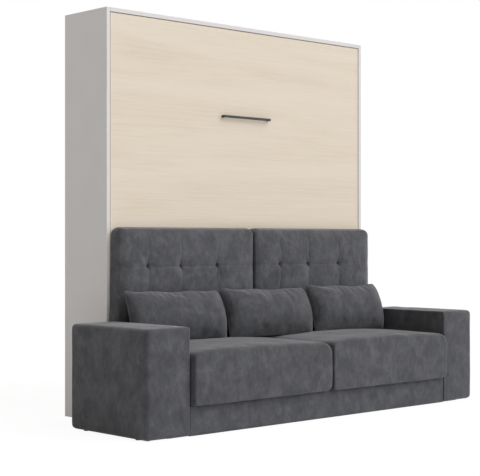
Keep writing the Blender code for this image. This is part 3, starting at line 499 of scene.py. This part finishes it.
def inflate(piece, s, held=None):
    # cloth under an inside pressure with no gravity; each point's travel is capped, and the result is kept
    scene = bpy.context.scene
    before = readPoints(piece)
    if held is not None:
        group = piece.vertex_groups.new(name="held")
        group.add(np.nonzero(held)[0].tolist(), 1.0, "REPLACE")
    cloth = piece.modifiers.new("cloth", "CLOTH")
    settings = cloth.settings
    settings.quality = clothRun["quality"]
    settings.mass = clothRun["mass"]
    settings.tension_stiffness = s["tension"]
    settings.compression_stiffness = s["tension"]
    settings.shear_stiffness = clothRun["shear"]
    settings.bending_stiffness = s["bending"]
    settings.air_damping = clothRun["damping"]
    settings.use_pressure = True
    settings.uniform_pressure_force = s["pressure"]
    settings.effector_weights.gravity = 0.0
    if held is not None:
        settings.vertex_group_mass = "held"
    cloth.collision_settings.use_collision = False
    cloth.collision_settings.use_self_collision = False
    cloth.point_cache.frame_start = 1
    cloth.point_cache.frame_end = clothRun["frames"]
    for number in range(1, clothRun["frames"] + 1):
        scene.frame_set(number)
    evaluated = piece.evaluated_get(bpy.context.evaluated_depsgraph_get())
    flat = np.empty(len(before) * 3)
    evaluated.data.vertices.foreach_get("co", flat)
    moved = flat.reshape(-1, 3) - before
    length = np.linalg.norm(moved, axis=1, keepdims=True)
    moved *= s["cap"] * np.tanh(length / s["cap"]) / np.maximum(length, tiny)
    piece.modifiers.remove(cloth)
    writePoints(piece, before + moved)
    scene.frame_set(1)


def dress(piece, body, slot, *replaced):
    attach(piece, body)
    if replaced:
        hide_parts(*replaced)


def boxOf(node):
    # a node's low and high corners, its middle and its half sizes
    low, high = (np.array(corner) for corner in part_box(node))
    return low, high, (low + high) / 2, (high - low) / 2


# Seat cushions: crowned top, soft front, full left ends and rounder right ones
seatPad = {"corners": (0.024, 0.056), "footCorners": (0.016, 0.042), "edges": (0.009, 0.011, 0.019),
           "crown": 0.026, "fall": 1.5, "frontShare": 0.68, "fullness": (2, 6), "swell": 0.006,
           "drawIn": 0.001, "start": 0.001, "inset": (0.005, 0.001), "uneven": 0.0012, "wavelength": 0.16,
           "rounding": 0.011, "pitch": 0.013,
           "pressure": 5.0, "cap": 0.005, "tension": 15.0, "bending": 0.8}


def buildSeat(word, seed, s):
    # a rounded box whose top rises by the crown: nil at the ends and the back, a share of it at the front
    low, high, middle, half = boxOf("seat_cushion_" + word)
    half = half - np.array([s["start"], s["swell"] / 2 + s["start"], s["crown"] / 2])
    middle = middle + np.array([0, s["swell"] / 2, -s["crown"] / 2])
    crisp, soft, top = s["edges"]

    def corners(u, v, w):
        # smaller on the left than on the right
        return np.where(w > 0, np.where(u < 0, *s["corners"]), np.where(u < 0, *s["footCorners"]))

    def edges(u, v, w):
        # crisp, but softer at the right end and softest along the top
        return crisp + np.maximum((soft - crisp) * nearEnd(u, 5), (top - crisp) * nearEnd(w, 6))

    shell, normal, faces = softBox(half, s["rounding"], s["pitch"], corners, edges)
    u, v, w = (shell / half).T
    fall = np.where(v < 0, 1 - s["frontShare"], 1.0) * np.abs(v) ** s["fall"]
    # the left end stays fuller towards the front
    least, added = s["fullness"]
    fullness = np.where(u < 0, least + added * np.clip(-v, 0, 1) ** 4, least)
    crown = s["crown"] * np.clip(1 - np.abs(u) ** fullness, 0, 1) * np.clip(1 - fall, 0, 1)
    points = shell + normal * (s["uneven"] * ripple(shell, seed, s["wavelength"]))[:, None]
    points[:, 0] -= s["drawIn"] * u * (1 - v ** 2)
    points[:, 1] -= s["swell"] * (1 - u ** 2) * (1 - w ** 2) * np.clip(-v, 0, 1)
    points[:, 2] += crown * np.clip(w, 0, 1)
    piece = addMesh("seat_" + word, points + middle, faces, finish["slate_velvet"])
    inflate(piece, s)
    # the pressure draws the ends in: they are let out again towards the joint and the arm
    points = readPoints(piece)
    ends = points[:, 0].min(), points[:, 0].max()
    points[:, 0] = np.interp(points[:, 0], ends, (low[0] + s["inset"][0], high[0] - s["inset"][1]))
    points[:, 1] = np.minimum(points[:, 1], high[1])
    points[:, 2] = np.maximum(points[:, 2], low[2])
    writePoints(piece, points)
    subdivide(piece)
    dress(piece, "root", "slate_velvet", "seat_cushion_" + word)
    return points


seatPoints = [buildSeat("left", 11, seatPad), buildSeat("right", 23, seatPad)]
print("seat cushions", round(time.time() - startTime, 1), "s")


# Rasters of the seats' tops and the backs' fronts, which the pillows rest on
rasterPitch = 0.016
fillRounds = 4


def heightField(clouds, along, across, up, keepHigh=True):
    # the highest or lowest point of the clouds in each cell of a regular raster; holes take a neighbour's
    cloud = np.concatenate(clouds)
    low = np.array([cloud[:, along].min(), cloud[:, across].min()])
    index = np.floor((cloud[:, [along, across]] - low) / rasterPitch).astype(int)
    shape = index.max(0) + 1
    sign = 1 if keepHigh else -1
    field = np.full(shape, -np.inf)
    np.maximum.at(field, (index[:, 0], index[:, 1]), sign * cloud[:, up])
    for _ in range(fillRounds):
        around = np.stack([np.roll(field, step, axis) for axis in (0, 1) for step in (-1, 1)])
        field = np.where(np.isinf(field), around.max(0), field)
    return sign * field, low


def readField(raster, first, second):
    # the raster's value in each point's cell; past the border, the nearest cell's
    field, low = raster
    i = np.clip(((first - low[0]) / rasterPitch).astype(int), 0, field.shape[0] - 1)
    j = np.clip(((second - low[1]) / rasterPitch).astype(int), 0, field.shape[1] - 1)
    return field[i, j]


# Back cushions: boxed rim, tufts in rows, folds that run into them and a seam along each row
backPad = {"rim": 0.074, "puff": 0.022, "fullness": (14, 5, 4), "corner": (0.036, 0.046),
           "edge": (0.005, 0.010), "edgePower": 2.4, "aside": (0.014, 0.0),
           "tuftPitch": 0.247, "tuftSteps": (-1.0, -0.06, 1.0), "tuftShift": -0.052, "tuftDrop": 0.210,
           "rowPitch": 0.177, "tuftDepth": 0.011, "tuftSpread": 0.014, "cutShare": 0.3,
           "slantDepth": 0.013, "slantReach": 0.025, "slantSpread": 0.006, "slantTurn": (0.35, 0.8),
           "foldDepth": 0.007, "foldSpread": 0.007, "foldFaint": 0.45, "foldReach": 0.075,
           "foldSways": ((0.004, 21), (0.003, 47)), "straightReach": 0.02,
           "seamDepth": 0.004, "seamSpread": 0.006, "seamFaint": 0.5, "seamReach": 0.05,
           "seamSway": (0.0012, 30), "pinch": 0.002, "pinchSpread": 0.030, "heldReach": 0.012,
           "pitch": 0.0125, "fine": 0.0034, "fineReach": 0.017,
           "pressure": 5.0, "cap": 0.005, "tension": 15.0, "bending": 0.8}
rimShares = np.array([0.0, 0.06, 0.2, 0.42, 0.7, 1.0])  # where the lines lie across a turned edge


def padLines(half, edge, creases, s):
    # even lines across a pad, closer beside each crease and where the rim turns
    lines = list(np.linspace(-half, half, int(round(2 * half / s["pitch"])) + 1))
    beside = np.arange(-s["fineReach"], s["fineReach"] + 1e-6, s["fine"])
    for place in creases:
        lines = [x for x in lines if abs(x - place) > s["fineReach"] + s["fine"] * 0.6]
        lines += list(place + beside)
    rim = half - edge * rimShares
    lines = [x for x in lines if abs(x) < half - edge * 1.25]
    return np.array(sorted(lines + list(rim) + list(-rim)))


def padSurface(plan, front, back):
    # two height fields on one grid, front towards -Y and back towards +Y, joined along the border
    px, pz = plan
    rows, columns = px.shape
    border = np.ones(px.shape, bool)
    border[1:-1, 1:-1] = False
    frontIndex = np.arange(px.size).reshape(px.shape)
    backIndex = frontIndex.copy()
    backIndex[~border] = px.size + np.arange((~border).sum())
    frontPoints = np.stack([px, np.where(border, 0, -front), pz], -1).reshape(-1, 3)
    backPoints = np.stack([px, back, pz], -1)[~border]
    quads = gridFaces(rows, columns)
    faces = np.concatenate([frontIndex.ravel()[quads], backIndex.ravel()[quads[:, ::-1]]])
    ring = np.concatenate([frontIndex[:-1, 0], frontIndex[-1, :-1],
                           frontIndex[:0:-1, -1], frontIndex[0, :0:-1]])
    return np.concatenate([frontPoints, backPoints]), faces, ring


def roundPlan(x, z, halfX, halfZ, corner):
    # past the core, the larger of the two shares of the corner becomes their root sum of squares: an arc
    overX = np.maximum(np.abs(x) - (halfX - corner[0]), 0) / corner[0]
    overZ = np.maximum(np.abs(z) - (halfZ - corner[1]), 0) / corner[1]
    shrink = 1 - np.maximum(overX, overZ) / np.maximum(np.hypot(overX, overZ), tiny)
    return x - np.sign(x) * overX * shrink * corner[0], z - np.sign(z) * overZ * shrink * corner[1]


def tuftCuts(x, z, tuftX, tuftZ, chance, s):
    # how deep the cloth is drawn in: a wavering fold down each column and a seam along each row, both
    # deeper near a tuft, and at each tuft a bell with a short slanted crease
    cut = np.zeros_like(x)
    for column in tuftX:
        sway = sum(high * np.sin(z * rate + chance.uniform(*anyPhase)) for high, rate in s["foldSways"])
        straight = 1 - sum(hill(z - row, s["straightReach"]) for row in tuftZ)
        pull = sum(hill(z - row, s["foldReach"]) for row in tuftZ)
        near = s["foldFaint"] + (1 - s["foldFaint"]) * pull
        cut += s["foldDepth"] * near * crease(x - column - sway * straight, s["foldSpread"])
    for row in tuftZ:
        high, rate = s["seamSway"]
        sway = high * np.sin(x * rate + chance.uniform(*anyPhase))
        pull = sum(hill(x - column, s["seamReach"]) for column in tuftX)
        near = s["seamFaint"] + (1 - s["seamFaint"]) * pull
        cut += s["seamDepth"] * near * crease(z - row - sway, s["seamSpread"])
    for column in tuftX:
        for row in tuftZ:
            away = np.hypot(x - column, z - row)
            cut = np.maximum(cut, s["tuftDepth"] * hill(away, s["tuftSpread"]) + s["cutShare"] * cut)
            turn = chance.uniform(*s["slantTurn"])
            slant = (x - column) * math.cos(turn) + (z - row) * math.sin(turn)
            cut += s["slantDepth"] * crease(slant, s["slantSpread"]) * hill(away, s["slantReach"])
    return cut


def buildBack(word, number, seed, s):
    # a flat back, a rim turned as a superellipse and a front that swells between the rims, less the cuts
    low, high, middle, half = boxOf("back_cushion_" + word)
    halfX, halfZ, halfY = half[0], half[2], s["rim"] / 2
    tuftX = s["tuftShift"] + np.array(s["tuftSteps"]) * s["tuftPitch"]
    tuftZ = np.array([halfZ - s["tuftDrop"] - i * s["rowPitch"] for i in range(2)])
    edgeX, edgeZ = s["edge"]
    linesX, linesZ = padLines(halfX, edgeX, tuftX, s), padLines(halfZ, edgeZ, tuftZ, s)
    x, z = np.meshgrid(linesX, linesZ, indexing="ij")
    u, w = x / halfX, z / halfZ
    turn = np.clip(np.minimum((halfX - np.abs(x)) / edgeX, (halfZ - np.abs(z)) / edgeZ), 0, 1)
    rim = halfY * (1 - (1 - turn) ** s["edgePower"]) ** (1 / s["edgePower"])
    # each cushion stays full up to its free end and falls off gently to the joint
    outer, joint, upright = s["fullness"]
    toJoint = u * (1 - 2 * number) > 0
    soft = (1 - np.abs(u) ** np.where(toJoint, joint, outer)) * (1 - np.abs(w) ** upright)
    swell = s["puff"] * soft
    cut = tuftCuts(x, z, tuftX, tuftZ, np.random.RandomState(seed), s)
    front = rim + swell - soft * cut
    pinch = sum(hill(z - row, s["pinchSpread"]) for row in tuftZ)
    px, pz = roundPlan(x, z, halfX, halfZ, s["corner"])
    # one cushion's left end stands in towards its top
    px = px - s["pinch"] * u ** 3 * pinch + s["aside"][number] * ((1 - u) / 2) ** 4 * (1 + w) / 2
    points, faces, ring = padSurface((px, pz), front, rim)
    # the tufts, the seam round the rim and the flat back hold still under the pressure
    held = np.ones(len(points), bool)
    away = np.min([np.hypot(x - column, z - row) for column in tuftX for row in tuftZ], axis=0)
    held[:x.size] = (away < s["heldReach"]).ravel()
    held[ring] = True
    place = np.array([middle[0], high[1] - halfY, middle[2]])
    # the back cushions take the paler velvet copy, with painted light in its colour
    piece = addMesh("back_" + word, points + place, faces, backVelvetPaintedLight)
    inflate(piece, s, held)
    points = readPoints(piece)
    points[:, 0] = np.clip(points[:, 0], low[0], high[0])
    points[:, 1] = np.minimum(points[:, 1], high[1])
    writePoints(piece, points)
    subdivide(piece)
    dress(piece, "back_cushion_" + word, "slate_velvet", "back_cushion_" + word)
    return points[:x.size]


backPoints = [buildBack("left", 0, 5, backPad), buildBack("right", 1, 8, backPad)]
print("back cushions", round(time.time() - startTime, 1), "s")


# Lumbar pillows: knife edges with gathers along the seams, leaning on the back cushions
pillow = {"width": (0.640, 0.638, 0.596), "shift": (-0.0085, 0.006, -0.007), "height": 0.267,
          "thickness": 0.123, "power": 0.55, "leanDeg": 17.5, "tiltDeg": 1.0,
          "bow": (0.015, 0.012, 0.006), "draw": 0.002, "corner": (0.022, 0.022),
          "wave": 0.0030, "wavelength": 0.27, "pucker": 0.0030, "puckerPitch": 0.052, "puckerReach": 0.030,
          "drift": (1.6, 1.1), "driftRate": (0.9, 0.37), "sideShare": 0.3, "edgeShare": 0.7,
          "footGather": 0.08, "endGather": 0.5, "rearGather": 0.5, "uneven": 0.0012, "unevenLength": 0.08,
          "pitch": 0.0085, "crowd": (1.35, 1.2), "seed": 31, "seamRadius": 0.0022, "gap": 0.001,
          "pressure": 5.0, "cap": 0.010, "tension": 25.0, "bending": 0.2}


def turnAbout(points, axis, degrees):
    # a turn about a coordinate axis, right-handed
    first, second = (axis + 1) % 3, (axis + 2) % 3
    cosine, sine = math.cos(math.radians(degrees)), math.sin(math.radians(degrees))
    turned = points.copy()
    turned[:, first] = points[:, first] * cosine - points[:, second] * sine
    turned[:, second] = points[:, first] * sine + points[:, second] * cosine
    return turned


def puckers(along, inward, chance, s):
    # short gathers square to a seam: waves along it that die away inward, in step lengths that vary
    steps = along / s["puckerPitch"]
    wide, narrow = s["drift"]
    quick, slow = s["driftRate"]
    drift = wide * np.sin(steps * quick + chance.uniform(*anyPhase)) + narrow * np.sin(steps * slow)
    return np.sin(steps * 2 * math.pi + drift) * np.exp(-inward / s["puckerReach"])


def crowdedLines(half, crowd, pitch):
    # sines of even steps, so that the lines crowd towards both ends, as shares of the half size
    steps = np.linspace(-crowd, crowd, int(round(2 * half / pitch)) + 1)
    return np.sin(steps) / math.sin(crowd)


def buildPillow(word, number, s, seatField, backField):
    # thickest in the middle, falling to the seams as the power of (1 - u ** 6) * (1 - w ** 2)
    low, high, middle, half = boxOf("pillow_" + word)
    chance = np.random.RandomState(s["seed"] + number)
    halfX, halfZ = s["width"][number] / 2, s["height"] / 2
    crowdX, crowdZ = s["crowd"]
    u, w = np.meshgrid(crowdedLines(halfX, crowdX, s["pitch"]), crowdedLines(halfZ, crowdZ, s["pitch"]),
                       indexing="ij")
    x, z = u * halfX, w * halfZ
    swell = s["thickness"] / 2 * ((1 - u ** 6) * (1 - w ** 2)) ** s["power"]
    gather = puckers(x, halfZ - np.abs(z), chance, s) * np.where(w > 0, 1.0, s["footGather"])
    gather = gather + s["endGather"] * puckers(z, halfX - np.abs(x), chance, s)
    gather = s["pucker"] * gather * np.sqrt((1 - u ** 4) * (1 - w ** 4))
    px, pz = roundPlan(x, z, halfX, halfZ, s["corner"])
    # the sides draw in between the corners, and the top seam waves
    phase = chance.uniform(*anyPhase)
    wave = s["wave"] * np.sin(2 * math.pi * x / s["wavelength"] + phase) * np.clip(w, 0, 1) ** 3
    px = px - s["draw"] * u * (1 - w ** 2)
    pz = pz + wave * (1 - u ** 8) - s["draw"] * np.clip(w, 0, 1) * (1 - u ** 2)
    points, faces, ring = padSurface((px, pz), swell + gather, swell - s["rearGather"] * gather)
    points[:, 1] += s["uneven"] * ripple(points, s["seed"] + number, s["unevenLength"])
    points[:, 1] -= s["bow"][number] * (1 - (points[:, 2] / halfZ) ** 2)
    piece = addMesh("lumbar_" + word, points, faces, finish["slate_velvet"])
    inflate(piece, s)
    # the pressure draws the seams in: the outline is let out again to its size
    points = readPoints(piece)
    seam = points[ring]
    onSides = np.abs(seam[:, 2]) < s["sideShare"] * halfZ
    onEdges = np.abs(seam[:, 0]) < s["edgeShare"] * halfX
    points[:, 0] *= halfX / np.abs(seam[onSides, 0]).mean()
    points[:, 2] *= halfZ / np.abs(seam[onEdges, 2]).mean()
    points = turnAbout(points, 1, s["tiltDeg"])
    points = turnAbout(points, 0, -s["leanDeg"])
    points += np.array([middle[0] + s["shift"][number], high[1] - points[:, 1].max(), middle[2]])
    # the lower seam is set on the seat, and what would pass into the seat or the back is pressed flat
    floorZ = readField(seatField, points[:, 0], points[:, 1]) + s["gap"]
    lowest = np.arange(len(x)) * x.shape[1]
    points[:, 2] += np.median((floorZ - points[:, 2])[lowest])
    wallY = readField(backField, points[:, 0], points[:, 2]) - s["gap"]
    points[:, 1] = np.minimum(points[:, 1], wallY)
    points[:, 2] = np.maximum(points[:, 2], floorZ)
    writePoints(piece, points)
    subdivide(piece)
    dress(piece, "pillow_" + word, "slate_velvet", "pillow_" + word)
    cordPoints, cordFaces = tube(points[ring], s["seamRadius"])
    cord = addMesh("lumbar_seam_" + word, cordPoints, cordFaces, finish["slate_velvet"])
    dress(cord, "pillow_" + word, "slate_velvet")


seatTop = heightField(seatPoints, 0, 1, 2)
backFront = heightField(backPoints, 0, 2, 1, keepHigh=False)
for number, word in enumerate(("left", "middle", "right")):
    buildPillow(word, number, pillow, seatTop, backFront)
print("pillows", round(time.time() - startTime, 1), "s")


# Arms and base front: padded boxes that stand square on the floor
armPad = {"outline": (1, 2), "corner": 0.028, "frontCorner": 0.018, "innerEdge": 0.004, "outerEdge": 0.026,
          "rearEdge": 0.024, "sunk": 0.0, "beyond": (0.003, 0.004, -0.0035), "crown": (0.001, 0.001, 0.002),
          "rounding": 0.018, "pitch": 0.018, "uneven": 0.0009, "wavelength": 0.22}
basePad = {"outline": (0, 2), "corner": 0.004, "frontCorner": 0.004, "innerEdge": 0.004, "outerEdge": 0.004,
           "rearEdge": 0.004, "sunk": 0.004, "beyond": (0.0, 0.0, 0.0), "crown": (0.0, 0.001, 0.0),
           "rounding": 0.004, "pitch": 0.018, "uneven": 0.0005, "wavelength": 0.22}


def standingPad(node, name, side, s):
    # a soft box crowned on its outer face, its front and its top; what is sunk is cut off flat
    low, high, middle, half = boxOf(node)
    outer, front, top = s["crown"]
    outward, forward, upward = np.array(s["beyond"]) - s["crown"]
    half = half + np.array([outward, forward, upward + s["sunk"]]) / 2
    middle = middle + np.array([side * outward, -forward, upward - s["sunk"]]) / 2

    def corners(u, v, w):
        return np.where(v > 0, s["corner"], s["frontCorner"])

    def edges(u, v, w):
        # the outer edge changes towards the rear, the inner one is crisp all along
        outerEdge = s["outerEdge"] + (s["rearEdge"] - s["outerEdge"]) * nearEnd(v, 3)
        return np.where(side * u > 0, outerEdge, s["innerEdge"])

    shell, normal, faces = softBox(half, s["rounding"], s["pitch"], corners, edges, s["outline"])
    u, v, w = (shell / half).T
    bulge = outer * np.clip(side * normal[:, 0], 0, 1) ** 2 * (1 - v ** 2) * (1 - w ** 2)
    bulge += front * np.clip(-normal[:, 1], 0, 1) ** 2 * (1 - u ** 2) * (1 - w ** 2)
    bulge += top * np.clip(normal[:, 2], 0, 1) ** 2 * (1 - u ** 4) * (1 - v ** 2)
    # the length of its name is each pad's seed
    uneven = s["uneven"] * ripple(shell, len(name), s["wavelength"])
    points = shell + normal * (bulge + uneven)[:, None] + middle
    inner = low[0] if side > 0 else -high[0]
    points[:, 0] = side * np.maximum(side * points[:, 0], inner)
    points[:, 1] = np.minimum(points[:, 1], high[1])
    points[:, 2] = np.maximum(points[:, 2], low[2])
    return addMesh(name, points, faces, finish["slate_velvet"])


for word, side in (("left", -1), ("right", 1)):
    cover = standingPad("arm_cover_" + word, "arm_" + word, side, armPad)
    subdivide(cover)
    dress(cover, "root", "slate_velvet", "arm_cover_" + word)
baseFront = standingPad("base_front", "base_cover", 1, basePad)
dress(baseFront, "root", "slate_velvet", "base_front")
print("arms and base", round(time.time() - startTime, 1), "s")


# Mattress: quilted squares, tape edges where its shoulders turn
mattressPad = {"square": 0.150, "quiltDepth": 0.0055, "quiltSpread": 0.012, "quiltFrom": 0.75,
               "borderUpTo": 0.5, "borderShare": 0.4, "borderSpread": 0.006,
               "tapeRadius": 0.0045, "tapeSteps": 9, "rounding": 0.060, "pitch": 0.0135}


def toNearest(place, pitch):
    # how far each place lies from the nearest multiple of the pitch
    return np.abs(place / pitch - np.round(place / pitch)) * pitch


def roundedLoop(halfX, halfZ, radius, steps):
    # a rounded rectangle in the XZ plane: four quarter circles, joined by their ends
    quarter = np.linspace(0, math.pi / 2, steps)
    path = []
    for number, (signX, signZ) in enumerate(((1, 1), (-1, 1), (-1, -1), (1, -1))):
        angle = quarter + number * math.pi / 2
        path.append(np.stack([signX * (halfX - radius) + radius * np.cos(angle), np.zeros(steps),
                              signZ * (halfZ - radius) + radius * np.sin(angle)], -1))
    return np.concatenate(path)


def buildMattress(s):
    # a rounded box, drawn in along a square raster on both faces and along a line round its border
    low, high, middle, half = boxOf("mattress")
    shell, normal, faces = softBox(half, s["rounding"], s["pitch"], arcSteps=5)
    facing = np.clip((np.abs(normal[:, 1]) - s["quiltFrom"]) / (1 - s["quiltFrom"]), 0, 1)
    quilt = np.maximum(hill(toNearest(shell[:, 0], s["square"]), s["quiltSpread"]),
                       hill(toNearest(shell[:, 2], s["square"]), s["quiltSpread"]))
    border = np.clip((s["borderUpTo"] - np.abs(normal[:, 1])) / s["borderUpTo"], 0, 1)
    line = s["borderShare"] * border * hill(shell[:, 1], s["borderSpread"])
    points = shell - normal * (s["quiltDepth"] * (facing * quilt + line))[:, None]
    piece = addMesh("mattress_cover", points + middle, faces, finish["ticking"])
    dress(piece, "bed", "ticking", "mattress")
    # the tapes lie half way round the shoulder
    turn = s["rounding"] * (1 - math.sqrt(0.5))
    loop = roundedLoop(half[0] - turn, half[2] - turn, s["rounding"] - turn, s["tapeSteps"])
    for word, side in (("front", -1), ("back", 1)):
        path = loop + middle + np.array([0, side * (half[1] - turn), 0])
        ringPoints, ringFaces = tube(path, s["tapeRadius"])
        tape = addMesh("mattress_tape_" + word, ringPoints, ringFaces, finish["ticking"])
        dress(tape, "bed", "ticking")


buildMattress(mattressPad)
print("mattress", round(time.time() - startTime, 1), "s")

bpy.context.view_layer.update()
print("done in", round(time.time() - startTime, 1), "s")
